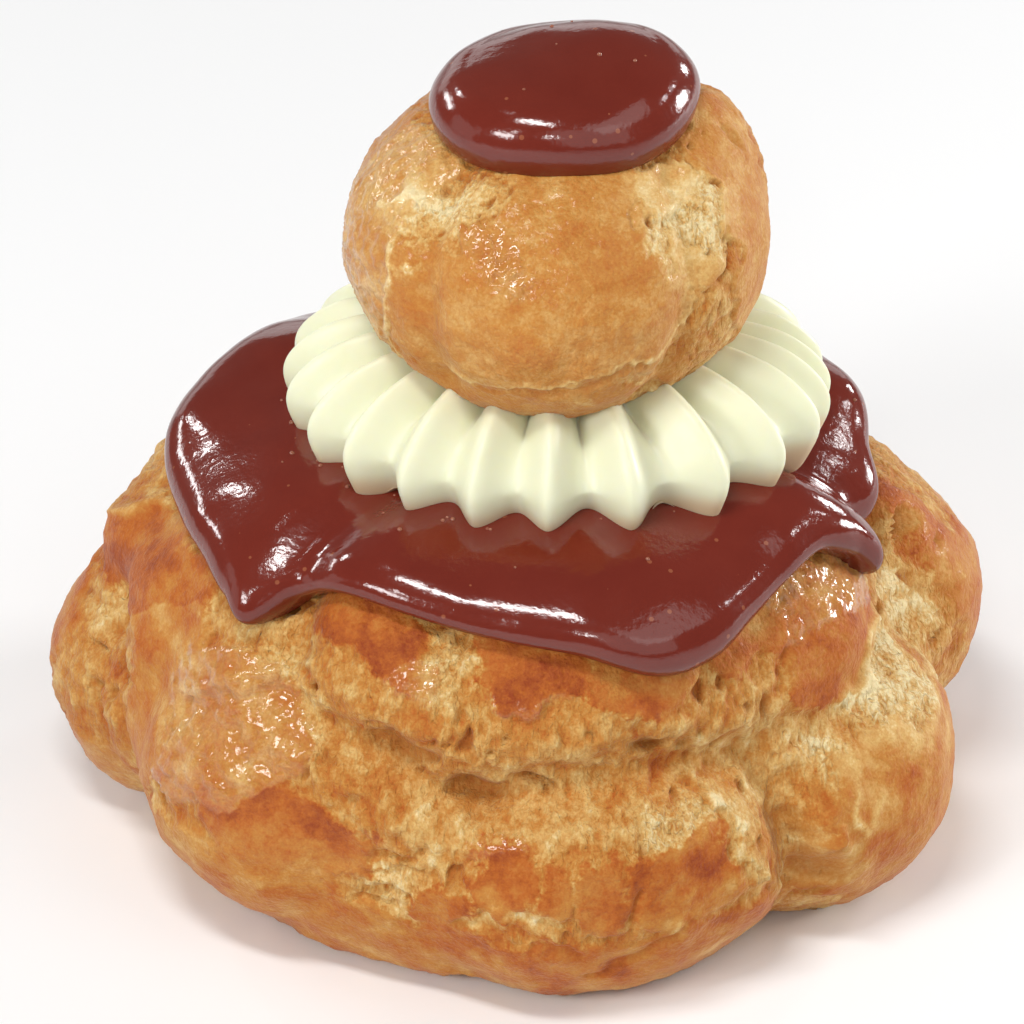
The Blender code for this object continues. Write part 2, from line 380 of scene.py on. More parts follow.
LARGE_POCKETS = [
    # Holes and pits under the icing's rim.
    Pocket(225, 30.5, 0.8, 1.6, 2),
    Pocket(238, 21.2, 0.6, 0.7, 1.4),
    Pocket(262.4, 22.6, 0.65, 0.6, 0.7),
    Pocket(268.8, 20.3, 0.6, 0.5, 0.6),
    Pocket(267.3, 17.3, 0.7, 0.5, 0.6),
    Pocket(281, 18.7, 0.4, 0.3, 0.7),
    Pocket(292, 16.4, 2.2, 1, 1.6),
    Pocket(298, 15.5, 1.6, 1.4, 0.8),
    # The smooth hollows of the torn belt.
    Pocket(251.5, 14.8, 4.1, 2.1, 1.9, turn=4),
    Pocket(247, 6.2, 1.2, 1.2, 0.6),
    Pocket(264.5, 8.2, 3.4, 2, 1.7, turn=-5),
    Pocket(272, 10.3, 2.6, 0.9, 1, turn=-5),
    Pocket(273.2, 8.3, 0.5, 0.4, 0.7),
    Pocket(312, -3.5, 2.3, 3, 0.7),
    Pocket(310.5, -2, 0.7, 1.1, 0.7),
    Pocket(308.6, -4, 0.6, 0.5, 0.6),
    # The pocket under the curled lip on the right.
    Pocket(317.6, -10.5, 3.3, 2.8, 1.1),
    Pocket(319.8, -11.2, 0.9, 0.35, 0.6, turn=15),
    Pocket(317.6, -7.3, 0.7, 0.3, 0.5),
    Pocket(317.4, -15.9, 1.3, 0.4, 0.6, turn=10),
    # The right lobe's bubbles.
    Pocket(1, 17.2, 1.6, 0.9, 2.2),
    Pocket(349.5, 13, 0.8, 1.6, 2),
    Pocket(353, 17, 0.6, 0.8, 1.2),
    Pocket(5, 13.5, 0.8, 0.6, 1.1),
    Pocket(358.5, 12, 0.7, 0.9, 1.1),
    Pocket(356, 20.5, 1.7, 2, 2),
    Pocket(350.5, 17, 2, 1.8, 1.6),
    Pocket(344.4, 15.1, 1, 0.9, 1.7, turn=20),
    Pocket(356, 1.4, 0.6, 0.6, 1.2),
    Pocket(358.4, 4.2, 0.6, 1.8, 0.7),
    Pocket(359.4, -1.2, 0.5, 1.5, 0.6),
    # The pits beside the left lobe.
    Pocket(191.9, -0.4, 0.9, 1.1, 1.3),
    Pocket(191.7, -6.8, 0.7, 1.7, 1.4, turn=10),
    Pocket(188.5, -2.7, 0.7, 1.1, 1.1),
    Pocket(185.5, 2.5, 1.2, 0.6, 0.9),
    Pocket(187, 7, 1.6, 1.2, 0.9),
    Pocket(196.9, 2.9, 0.9, 0.7, 1.2),
]
LARGE_MOUNDS = [
    Mound(314, -8, 6.5, 8, 1.6),
    Mound(329, 20, 7, 5.5, 0.8, turn=-8),
    Mound(352, 14, 4, 8, 0.8),
    Mound(286, 4, 8, 4, 0.6),
    Mound(217, 8, 9, 6, 0.7, turn=20),
    Mound(194, 3, 5, 11, 2.4),
    Mound(178, 15, 6, 5, 1.8),
    Mound(20, 20, 12, 10, -2.8),
]
LARGE_TINTS = [
    # The bright fibres on the right, and pale dough between the plates.
    Tint(336, 7, 6.2, 5.6, -0.28, turn=20),
    Tint(320, 4.5, 4.6, 1.8, -0.32, turn=-35),
    Tint(292.5, 3.5, 4, 3, -0.24),
    Tint(354, 8, 4, 6, -0.12),
    Tint(352, 25, 3, 4, -0.16),
    Tint(316.5, -10, 4, 3, -0.16),
    Tint(258, 28, 3, 4, -0.15),
    Tint(225, 24, 5, 3, -0.12),
    Tint(183, 9, 4, 3, -0.2),
    Tint(249, -9, 3, 4, -0.12),
    # Mostly darker places.
    Tint(4, 22, 4, 1.6, 0.28),
    Tint(358, 14, 4, 1.6, 0.14),
    Tint(186.5, 15, 3, 1.6, 0.16),
    Tint(243, 1.5, 3.2, 1.5, 0.2),
    Tint(223.5, 0.5, 2, 1.5, 0.14),
    Tint(265.5, -1, 2, 1, 0.18),
    Tint(293.7, -1.6, 2.4, 1.8, 0.22),
    Tint(317.8, 0, 1.6, 1.2, 0.2),
    Tint(322, 17.5, 2.6, 1.2, 0.2),
    Tint(277.5, 26.5, 1.8, 2, 0.1),
    Tint(191, -4, 3, 5, 0.14),
    Tint(3, 16, 4, 3, 0.12),
    Tint(354, 13, 4, 7, -0.08),
    Tint(181, 6, 6, 8, 0.08),
    Tint(245, 15, 6, 4, 0.06),
    Tint(318, -10.5, 3.5, 3.5, -0.25),
    Tint(8, 22.5, 2.2, 1.2, 0.4),
    Tint(276, 21, 12, 2.6, 0.08),
    Tint(241, 31.5, 2.2, 1, 0.08, turn=-10),
    Tint(274, 28.5, 2.4, 1.4, 0.2, turn=-10),
    Tint(244.5, 27.5, 4.5, 1.2, 0.12, turn=-14),
]
LARGE_SEAMS = [
    # Stretched folds and cracks.
    Seam((212.5, 11), (227.6, 19.4), 0.7, 0.35, -0.1),
    Seam((227.6, 19.4), (238, 26), 0.6, 0.3, -0.1),
    Seam((214, 8), (229, 16.5), 0.8, -0.35, 0),
    *seam_chain([(243, 14), (247, 18), (259, 18.5)], 0.4, -0.4, 0.1),
    Seam((174, 17), (181, 26), 0.7, 0.4, -0.3),
    Seam((247.3, -4.8), (255.4, 0.5), 0.4, -0.6, 0.1),
    Seam((246, -7.5), (254.5, -3), 0.35, -0.5, 0.1),
    Seam((246.5, -11.5), (253, -8.5), 0.4, -0.5, 0.1),
    Seam((245, -14), (251, -12.5), 0.35, -0.4, 0.1),
    Seam((287.4, -5), (284.3, -9.3), 0.5, -0.45, 0.1),
    Seam((291, -12), (281.8, -17.5), 0.5, -0.4, 0.05),
    *seam_chain([(263.5, -10.8), (266.3, -8.5), (271.5, -6.5), (274.5, -8)], 0.4, -0.2, -0.2),
    Seam((278.2, -2.8), (278, -8.8), 0.35, -0.15, -0.15),
    Seam((272, -11.5), (279, -13), 0.4, -0.4, 0.1),
    Seam((293.6, -5.8), (290.6, -10.9), 0.4, 0.15, -0.2),
    # The pale edges of torn skin.
    *seam_chain([(298.5, 10.4), (299.4, 5.4), (302.6, 1.2)], 0.5, 0.45, -0.25),
    Seam((302.6, 1.2), (305, -6), 0.5, 0.4, -0.25),
    Seam((305, -6), (313, -17), 0.5, 0.4, -0.2),
    # The curled lip on the right, and more pale edges.
    Seam((317.3, -1.5), (317.5, -6.4), 1, 0.6, 0.05),
    Seam((317.5, -6.4), (313.6, -10.8), 1, 0.6, 0),
    *seam_chain([(321.4, -2.1), (321.3, -4), (322.9, -6.3)], 0.35, 0.15, -0.3),
    Seam((322.9, -6.3), (326.3, -3.2), 0.35, 0.1, -0.2),
    *seam_chain([(343.5, 22), (340.5, 15.8), (333, 11.8)], 0.6, 0.35, -0.3),
    Seam((333, 11.8), (327, 11), 0.6, 0.3, -0.25),
    Seam((296, 13.5), (308, 15.5), 0.5, 0.3, -0.15),
    Seam((284, 23), (297, 19.5), 0.5, 0.25, -0.15),
]
SMALL_PLATES = [
    Plate(263, 3, 13, 6.9, 0.48, 0.25, turn=4),
    Plate(257, 18, 5.4, 5, 0.48, 1),
    Plate(272, 26, 7.4, 4.8, 0.48, 0.15),
    Plate(280, 40, 6, 4.5, 0.44, 0.2),
    Plate(197, 6, 6.4, 8.8, 0.42, 0.7),
    Plate(196, 34, 5.5, 3.6, 0.42, 0.5),
    Plate(316, 39, 3.3, 2.3, 0.32, 0.2, turn=-10),
    Plate(313.5, 14, 1.9, 3.3, 0.46, 0.1, turn=10),
    Plate(348, 4, 5.8, 8.4, 0.46, 0.05),
    Plate(355, 34, 5, 4.4, 0.44, 0.05),
    Plate(262, -26, 12, 2.6, 0.52, 0.1),
    Plate(40, 10, 8, 9, 0.52, 0.4),
    Plate(95, 8, 9, 9, 0.5, 0.4),
    Plate(150, 10, 8, 9, 0.52, 0.4),
]
SMALL_POCKETS = [
    Pocket(334.7, 29.6, 0.5, 0.4, 0.9, turn=-40),
    Pocket(357.5, 32, 0.7, 2.4, 0.6),
    Pocket(343, 43, 0.7, 0.3, 0.8, turn=-40),
]
SMALL_MOUNDS = [
    Mound(264, 2, 12, 6, 0.3),
]
SMALL_TINTS = [
    Tint(322, 25, 4.6, 5, -0.2, turn=-30),
    Tint(304, 16, 1.6, 6, -0.14, turn=12),
    Tint(310, 3, 2, 3, -0.14),
    Tint(224, 33, 4, 2.4, -0.24, turn=20),
    Tint(212, 26, 2.4, 3, -0.16),
    Tint(357.5, 32, 0.9, 2.6, 0.2),
    Tint(225, 8, 3, 4, 0.06),
    Tint(288, 24, 3, 3, 0.06),
]
SMALL_SEAMS = [
    *seam_chain([(219.5, 21), (217.8, 8.5), (217.8, 0), (213.5, -22)], 0.3, 0.1, -0.25),
    Seam((215.5, 12), (212, -20), 0.5, -0.22, 0),
    Seam((236, -18.3), (268, -11.8), 0.3, 0.1, -0.2),
    *seam_chain([(268, -11.8), (295.6, -5.8), (311, -1.6)], 0.3, 0.1, -0.25),
    Seam((250, -17.5), (297, -8.5), 0.5, -0.22, 0.05),
    Seam((316.1, 2.7), (320.9, 9.9), 0.45, -0.33, 0.1),
    Seam((320.9, 9.9), (332.9, 18), 0.45, -0.28, 0.05),
    Seam((302, 38), (299.4, 30), 0.35, -0.22, 0),
    Seam((299.4, 30), (309, 28), 0.35, -0.19, 0),
    Seam((309, 7), (316, 5), 0.35, -0.22, 0.05),
    *seam_chain([(309, 28), (327, 33), (334, 42)], 0.4, -0.22, 0),
    Seam((205, 24), (218, 31), 0.4, 0.3, -0.2),
    Seam((203, 30), (216, 38), 0.4, -0.22, 0),
]


def back_plates(seed=5):
    """Plates of skin over the back of the large bun, which the photograph doesn't show."""
    chance = np.random.default_rng(seed)
    plates = []
    for azimuth in range(22, 166, 18):
        for rise in (27, 8, -12):
            shift, lift, across, tall, turn, brown = chance.uniform(
                (-5, -4, 4, 3.5, -30, 0.45), (5, 4, 7, 5.5, 30, 0.85)
            )
            plates.append(Plate(azimuth + shift, rise + lift, across, tall, brown, 0.3, 0.1, turn))
    return plates


def place_in(directions, reach, patch):
    """Where each point lies in the patch, across and up, as shares of its half sizes."""
    middle = unit(patch.azimuth, patch.rise)
    east = unit(patch.azimuth + 90, 0)
    north = np.cross(middle, east)
    turn = radians(patch.turn)
    across = directions @ (cos(turn) * east + sin(turn) * north) * reach / (patch.across * MM)
    upward = directions @ (cos(turn) * north - sin(turn) * east) * reach / (patch.tall * MM)
    return across, upward


def inside_of(directions, reach, patch):
    """How far inside the patch's edge each point lies, in millimetres; negative is outside."""
    x, y = place_in(directions, reach, patch)
    inside = (1 - (np.abs(x) ** 2.5 + np.abs(y) ** 2.5) ** 0.4) * min(patch.across, patch.tall)
    return np.where(directions @ unit(patch.azimuth, patch.rise) > 0, inside, -9.0)


def pocket_depth(directions, reach, pocket):
    """How deep the pocket is at each point, in millimetres, with steep walls and a round floor."""
    inside = inside_of(directions, reach, pocket)
    return pocket.depth * smooth_step(-0.1, 0.8 * min(pocket.across, pocket.tall), inside)


def mound_height(directions, reach, mound):
    """How high the mound is at each point, in millimetres, with long soft slopes."""
    size = min(mound.across, mound.tall)
    return mound.height * smooth_step(-0.5 * size, 0.8 * size, inside_of(directions, reach, mound))


def seam_profile(directions, reach, seam):
    """1 along the middle of the seam, falling to 0 beside it."""
    away = angle_to_arc(directions, unit(*seam.start), unit(*seam.end)) * reach
    return np.exp(-((away / (seam.width * MM)) ** 2))


def crust_directions(crust):
    """The grid's directions from the heart, from the bottom up, and its columns' azimuths."""
    turn = np.arange(crust.columns) * 2 * pi / crust.columns
    # The columns are twice as close at the front, which is at 270 degrees, as at the back.
    turn = turn - 0.33 * np.sin(turn - 1.5 * pi)
    spread = np.radians(crust.spreads)[::-1, None]
    directions = np.stack(
        [np.cos(turn) * np.sin(spread), np.sin(turn) * np.sin(spread), np.cos(spread) + 0 * turn],
        axis=2,
    ).reshape(-1, 3)
    return directions, turn


def patches_at(crust, reach, points):
    """What the plates, pockets, tints and seams do at each point. Their edges wander a little."""
    grain = crust.grain
    moved = wander(wander(points, 1.2, 5 * grain, 3), 0.5, 1.6 * grain, 8) - crust.bun.heart
    moved /= np.linalg.norm(moved, axis=1)[:, None]
    insides = np.array([inside_of(moved, reach, plate) for plate in crust.plates])
    nearest = insides.argmax(axis=0)
    inside = insides.max(axis=0)
    skin = smooth_step(-0.6 * crust.bold, 0.5 * crust.bold, inside)
    leans = [plate.brown - plate.lean * place_in(moved, reach, plate)[1] for plate in crust.plates]
    pocket = np.max([pocket_depth(moved, reach, pocket) for pocket in crust.pockets], axis=0)
    in_pocket = smooth_step(0, 0.5, pocket)
    torn = (1 - skin) * (1 - in_pocket)
    tinted = sum(
        tint.shift * smooth_step(-0.5, 2, inside_of(moved, reach, tint)) for tint in crust.tints
    )
    seams = [seam_profile(moved, reach, seam) for seam in crust.seams]
    return SimpleNamespace(
        inside=inside,
        skin=skin,
        brown=np.take_along_axis(np.array(leans), nearest[None, :], axis=0)[0],
        wrinkled=np.array([plate.wrinkled for plate in crust.plates])[nearest] * skin,
        pocket=pocket,
        in_pocket=in_pocket,
        torn=torn,
        # The pale parts of the torn dough are pulled into strands.
        pulled=torn * np.clip(-3 * tinted, 0, 1),
        raised=sum(seam.raised * line for seam, line in zip(crust.seams, seams)),
        shift=tinted + sum(seam.shift * line for seam, line in zip(crust.seams, seams)),
    )


def dough_at(crust, points):
    """The noises that the dough's relief and browning read at each point."""
    grain = crust.grain
    stretched = wander(points, 0.5, 3, 18) * (1, 1, 0.4)
    patchy = smooth_step(0.0, 0.4, soft_noise(points, 6 * grain, 24))
    return SimpleNamespace(
        strands=0.5 * ridges(stretched, 2.0 * grain, 21) + 0.5 * ridges(stretched, 0.9 * grain, 22),
        crumb=soft_noise(points, 1.6 * grain, 23, octaves=3),
        fine=soft_noise(stretched, 0.6 * grain, 31),
        pits=smooth_step(0.25, 0.5, soft_noise(stretched, 1.2 * grain, 25)) * patchy,
        swell=0.5 * soft_noise(points, 10 * grain, 26) + 0.35 * soft_noise(points, 4.5 * grain, 27),
        leather=ridges(wander(points, 0.4, 1.5, 30), 1.1, 29),
    )


def crust_relief(crust, directions, reach, patch, dough):
    """How far each point stands out from the smooth bun, in millimetres."""
    lip = np.exp(-(((patch.inside - 0.4) / 0.4) ** 2))
    rough = 0.1 * dough.strands + 0.34 * dough.crumb + 0.2 * dough.fine - 0.6 * dough.pits - 0.1
    fibrous = 0.12 * dough.strands + 0.12 * dough.crumb + 0.12 * dough.fine
    return (
        crust.grain * dough.swell
        + sum(mound_height(directions, reach, mound) for mound in crust.mounds)
        + patch.torn * crust.grain * rough
        + patch.pulled * crust.grain * crust.bold * fibrous
        + patch.skin * crust.grain * (0.2 + 0.12 * dough.crumb)
        + 0.1 * lip
        + patch.wrinkled * (0.15 * dough.leather + 0.12 * dough.fine)
        + patch.in_pocket * 0.08 * dough.fine
        + patch.raised
        - patch.pocket
    )


def crust_browns(crust, points, patch, dough):
    """How browned each point is, from 0 to about 1, first as skin and then as torn dough, with painted
    shade deepening in pits and pockets.
    """
    mottle = soft_noise(points, 3.5, 41) + 0.6 * soft_noise(points, 1.3, 42)
    scorched = smooth_step(0.1, 0.4, soft_noise(points, 4, 45, octaves=3))
    scorched *= 1 - 0.8 * patch.wrinkled
    skin = patch.brown + crust.bold * (0.2 * mottle + 0.12 * scorched) + 0.1 * dough.swell
    torn = crust.torn - 0.06 * dough.strands - 0.14 * dough.crumb - 0.14 * dough.fine
    # The dough's own browning and painted shade: the pits, which the relief sinks, are browner.
    torn += 0.2 * dough.pits
    torn += 0.2 * soft_noise(points, 7, 43) + 0.2 * soft_noise(points, 2.4, 44)
    # The torn dough takes some of the skin's colour beside a plate.
    blend = smooth_step(-1.2 * crust.bold, 1.0 * crust.bold, patch.inside)
    beside_skin = torn + (skin - torn) * blend
    # The dough's own browning and painted shade: a pocket's colour darkens the deeper it lies.
    pocket_brown_and_shade = 0.42 + 0.08 * patch.pocket - 0.15 * dough.fine
    browns = []
    for brown in (skin, 0.7 * torn + 0.3 * beside_skin):
        brown = np.minimum(brown + patch.shift, DARKEST)
        browns.append(brown + (pocket_brown_and_shade - brown) * patch.in_pocket)
    return browns


def crust_mesh(name, crust):
    """The bun with its relief, and the layers that its material reads.

    inside is how far, in millimetres, each point lies inside the nearest plate of skin; skin_brown
    and torn_brown are how browned it is as skin and as torn dough, with painted shade in its pockets;
    leather is how wrinkled its skin is, pulled how far its dough is drawn into strands, and hollow
    how deep it lies in a pocket or pit, which the material paints darker as shade.
    """
    directions, turn = crust_directions(crust)
    heart = np.array(crust.bun.heart)
    reach = smooth_reach(directions, crust.bun, softness=0.5 * MM)
    cut = split_depth(directions, reach, crust.bun.splits)
    points = heart + directions * (reach - cut)[:, None]
    patch = patches_at(crust, reach, points)
    dough = dough_at(crust, points)

    relief = crust_relief(crust, directions, reach, patch, dough)
    edge = np.tile(ring_curve(crust.icing.outline, np.degrees(turn) % 360), len(crust.spreads))
    # Nothing stands out from the bun under its icing.
    covered = directions[:, 2] > np.cos(np.radians(edge - 2))
    relief = np.where(covered, np.minimum(relief, 0), relief)
    points = points + directions * (relief * MM)[:, None]
    # What would reach below the table is drawn in until it lies on it.
    down = np.where(points[:, 2] < 0, heart[2] / (heart[2] - np.minimum(points[:, 2], 0)), 1)
    points = heart + (points - heart) * down[:, None]

    skin_brown, torn_brown = crust_browns(crust, points, patch, dough)
    return closed_grid(
        name,
        list(points.reshape(len(crust.spreads), crust.columns, 3)),
        inside=np.clip(patch.inside, -3, 3),
        skin_brown=skin_brown,
        torn_brown=torn_brown,
        # Painted shade: how deep each point lies in a pit or pocket, which darkens its colour.
        hollow=np.clip(0.6 * dough.pits * patch.torn + 0.3 * patch.pocket, 0, 1),
        leather=patch.wrinkled,
        pulled=patch.pulled,
    )


# ---------------- icings

LARGE_FOLDS = [
    Split((227, 32), (234, 62), 2.7, 1.7),
    Split((346, 44), (351, 20), 2.6, 2.2),
]
# How far the icing swells out towards its edge, as (azimuth, millimetres).
LARGE_SWELLS = [
    (2, 0.7), (9, 1.7), (15, 1.7), (21, 1.1), (30, 0.7), (50, 0.8), (85, 0), (110, -0.8),
    (128, -1.5), (140, -1.4), (148, -0.6), (156, 0.2), (165, 0.6), (176, 0.8), (190, 0.6),
    (205, 0.3), (222, 0.5), (240, 0), (270, 0.1), (297, 0.5), (320, 0), (343, 0.2), (355, 0),
]
SMALL_SWELLS = [(0, -0.4), (90, -0.6), (180, -0.3), (230, -0.1), (270, 0), (310, -0.1)]


def icing_mesh(name, icing, columns, rows_across, swells, folds=()):
    """The icing over its bun, from its underside out, round its edge and over its top."""
    bun = icing.bun
    azimuths = np.arange(columns) * 360 / columns
    edge = np.radians(ring_curve(icing.outline, azimuths))
    turned = np.radians(azimuths)
    extra = ring_curve(swells, azimuths) * MM

    def row(inward, height, share=1.0, loose=0.0):
        """One ring, at a share of the way from the middle out to a line inward of the edge.

        height is how far it lies over the bun, and loose how far waves and swells move it.
        """
        spread = (edge - inward / bun.half_width) * share
        flat = [np.cos(turned) * np.sin(spread), np.sin(turned) * np.sin(spread), np.cos(spread)]
        directions = np.stack(flat, axis=1)
        reach = smooth_reach(directions, bun, softness=1.2 * MM)
        if folds:
            reach = reach - split_depth(directions, reach, folds)
        lift = directions * (1 - icing.upright) + np.array([0, 0, icing.upright])
        points = bun.heart + directions * reach[:, None] + lift * height
        wave = 0.35 * soft_noise(points, 9, 51) + 0.12 * soft_noise(points, 3.5, 52)
        return points + directions * (loose * (wave * MM + share**2 * extra))[:, None]

    top = icing.thickness + icing.rim
    shoulder = icing.shoulder
    # The underside lies inside the bun. The edge is widest at the lip, and tucked in below it.
    under = -0.8 * MM
    lip = 0.36 * top
    tuck = 0.5 * lip
    rows = [row(shoulder, under, share) for share in np.linspace(0.05, 1, 5)]
    for turn in np.radians(np.linspace(-75, -10, 8)):
        rows.append(row(tuck * (1 - cos(turn)), under + (lip - under) * (1 + sin(turn))))
    for turn in np.radians(np.linspace(0, 90, 19)):
        height = lip + (top - lip) * sin(turn)
        rows.append(row(shoulder * (1 - cos(turn)), height, loose=sin(turn)))
    for share in np.linspace(1, 0.02, rows_across)[1:]:
        rows.append(row(shoulder, icing.thickness + icing.rim * share**3, share, loose=1.0))
    return closed_grid(name, rows)


# ---------------- cream


def cream_section(count):
    """The collar's section with its corners smoothed, as points and the direction along it."""
    section = np.array(CREAM_SECTION) * MM
    lengths = np.concatenate([[0], np.cumsum(np.hypot(*np.diff(section, axis=0).T))])
    steps = np.linspace(0, lengths[-1], count)
    line = np.stack([np.interp(steps, lengths, section[:, axis]) for axis in (0, 1)], axis=1)
    for _ in range(14):
        line[1:-1] = (line[:-2] + 2 * line[1:-1] + line[2:]) / 4
    along = np.gradient(line, axis=0)
    along /= np.hypot(*along.T)[:, None]
    return line, along


def cream_mesh(name, columns_a_tooth=26, rows_round=80):
    """The piped collar, whose teeth have sharp crests with round hollows between them."""
    teeth = len(CREAM_CRESTS)
    crests = np.array([*CREAM_CRESTS, CREAM_CRESTS[0] + 360.0])
    place = np.arange(teeth * columns_a_tooth) / columns_a_tooth
    turn = np.radians(np.interp(place, np.arange(teeth + 1), crests))
    # Each tooth's width as a share of the mean.
    width = ring_curve(list(zip(CREAM_CRESTS, np.diff(crests))), np.degrees(turn) % 360) * teeth / 360
    # From 0 on the crests, which the square root rounds a little, to 1 in the hollows.
    from_crest = 1 - 2 * np.abs(place % 1 - 0.5)
    from_crest = np.sqrt(from_crest**2 + 0.015)
    outward = np.stack([np.cos(turn), CREAM_NARROWING * np.sin(turn)], axis=1)
    rows = []
    for (radius, height), (dr, dh) in zip(*cream_section(rows_round)):
        # Near the bun the teeth are round with sharp hollows, and further out the other way round.
        outer = smooth_step(14 * MM, 22 * MM, radius)
        pointed = np.sin(pi / 2 * from_crest)
        round_top = 1 - np.cos(pi / 2 * from_crest)
        wavy = 0.5 - 0.5 * np.cos(pi * from_crest)
        shape = outer * (0.45 * pointed + 0.55 * wavy) + (1 - outer) * round_top
        sink = CREAM_TOOTH_DEPTH * smooth_step(7 * MM, 15 * MM, radius) * width * shape
        ring = outward * (radius - dh * sink)[:, None]
        level = height + dr * sink - CREAM_SLOPE * ring[:, 0]
        rows.append(np.column_stack([ring, level]) + [*CREAM_MIDDLE, 0])
    # Painted reflection: the foot, just above the icing, is tinted as if lit by the icing's brown
    # light.
    foot = 1 - smooth_step(41.2 * MM, 43.4 * MM, np.concatenate(rows)[:, 2])
    return closed_grid(name, rows, foot=foot)


def bubble_mesh(name, glaze, count, seed):
    """Tiny bubbles half sunk in an icing, likelier beside the cream's left front."""
    chance = np.random.default_rng(seed)
    places = np.array([vertex.co for vertex in glaze.vertices])
    facing_up = np.array([vertex.normal.z for vertex in glaze.vertices]) > 0.6
    from_middle = places[:, :2] - CREAM_MIDDLE
    from_cream = np.hypot(from_middle[:, 0], from_middle[:, 1] / CREAM_NARROWING) / MM - CREAM_REACH
    # 1 at the left front, falling to 0 at the right back.
    at_left_front = np.clip(0.4 - (places[:, 0] + 0.5 * places[:, 1]) / (30 * MM), 0, 1)
    likely = facing_up * (0.03 + np.exp(-((from_cream / 1.6) ** 2)) * at_left_front)
    chosen = chance.choice(len(places), count, replace=False, p=likely / likely.sum())
    built = bmesh.new()
    for index in chosen:
        radius = chance.uniform(0.1, 0.24) * MM
        matrix = Matrix.Translation(places[index]) @ Matrix.Diagonal((1, 1, 0.8, 1))
        bmesh.ops.create_icosphere(built, subdivisions=2, radius=radius, matrix=matrix)
    mesh = bpy.data.meshes.new(name)
    built.to_mesh(mesh)
    built.free()
    mesh.shade_smooth()
    return mesh


# ---------------- materials


def add_node(tree, kind, inputs=None, **settings):
    """A shader node with these settings; an input is a value, or a socket to link from."""
    node = tree.nodes.new("ShaderNode" + kind)
    for name, value in settings.items():
        setattr(node, name, value)
    for socket, value in (inputs or {}).items():
        if isinstance(value, bpy.types.NodeSocket):
            tree.links.new(value, node.inputs[socket])
        else:
            node.inputs[socket].default_value = value
    return node


def new_material(name):
    """A material, its node tree, its shader and the piece's own coordinates."""
    made = bpy.data.materials.new(name)
    made.use_nodes = True
    tree = made.node_tree
    return made, tree, tree.nodes["Principled BSDF"], add_node(tree, "TexCoord").outputs["Object"]


def mix_colour(tree, factor, first, second):
    """The first colour where the factor is 0 and the second where it is 1."""
    return add_node(tree, "Mix", {0: factor, 6: first, 7: second}, data_type="RGBA").outputs[2]


def maths(tree, operation, *values, clamp=False):
    inputs = dict(enumerate(values))
    return add_node(tree, "Math", inputs, operation=operation, use_clamp=clamp).outputs[0]


def colour_ramp(tree, level, stops):
    """Colours by level, from (level, colour) stops."""
    node = add_node(tree, "ValToRGB", {0: level})
    elements = node.color_ramp.elements
    for place, colour in stops[1:-1]:
        elements.new(place)
    for element, (place, colour) in zip(elements, stops):
        element.position = place
        element.color = (*colour, 1)
    return node.outputs[0]


def texture(tree, coord, scale, detail, distortion=0.0):
    """Noise from 0 to 1, with about scale blobs a metre."""
    inputs = {"Vector": coord, "Scale": scale, "Detail": detail, "Distortion": distortion}
    return add_node(tree, "TexNoise", inputs).outputs[0]


def bump(tree, height, distance, strength=1.0, over=None):
    """The normal of this height, which distance scales to metres, over another bump's normal."""
    inputs = {"Height": height, "Strength": strength, "Distance": distance}
    if over is not None:
        inputs["Normal"] = over
    return add_node(tree, "Bump", inputs).outputs[0]


def upright(tree, coord, scale):
    """Coordinates that stretch a texture upwards by 1 / scale."""
    return add_node(tree, "Mapping", {"Vector": coord, "Scale": (1, 1, scale)}).outputs[0]


# The crust's colours by how browned it is.
CRUST_SHADES = [
    (0.0, (0.82, 0.67, 0.37)),
    (0.25, (0.655, 0.405, 0.138)),
    (0.5, (0.515, 0.22, 0.043)),
    (0.75, (0.435, 0.114, 0.015)),
    (1.0, (0.27, 0.045, 0.008)),
]


def crust_normal(tree, coord, grain, fibre, fibrous, speck, leather):
    """The strands of the torn dough, its pores and the wrinkles of leathery skin."""
    height = maths(tree, "MULTIPLY", fibre, maths(tree, "MULTIPLY_ADD", fibrous, 0.85, 0.15))
    strands = bump(tree, height, 0.5 * MM * grain)
    pores = bump(tree, speck, 0.2 * MM * grain, over=strands)
    inputs = {"Vector": upright(tree, coord, 0.55), "Scale": 1500, "Detail": 1.0}
    wrinkles = add_node(tree, "TexVoronoi", inputs, feature="SMOOTH_F1").outputs[0]
    wrinkled = maths(tree, "MULTIPLY_ADD", leather, 0.8, 0.2)
    return bump(tree, wrinkles, 0.1 * MM, wrinkled, over=pores)


def add_egg_glaze(tree, shader, coord, leather):
    """The thin glaze of egg, which glints where the skin is leathery."""
    ripples = bump(tree, texture(tree, coord, 1500, 1.5, 0.4), 0.075 * MM)
    tree.links.new(ripples, shader.inputs["Coat Normal"])
    glossy = maths(tree, "MULTIPLY_ADD", leather, 1.0, -0.03, clamp=True)
    tree.links.new(glossy, shader.inputs["Coat Weight"])
    shader.inputs["Coat Roughness"].default_value = 0.12


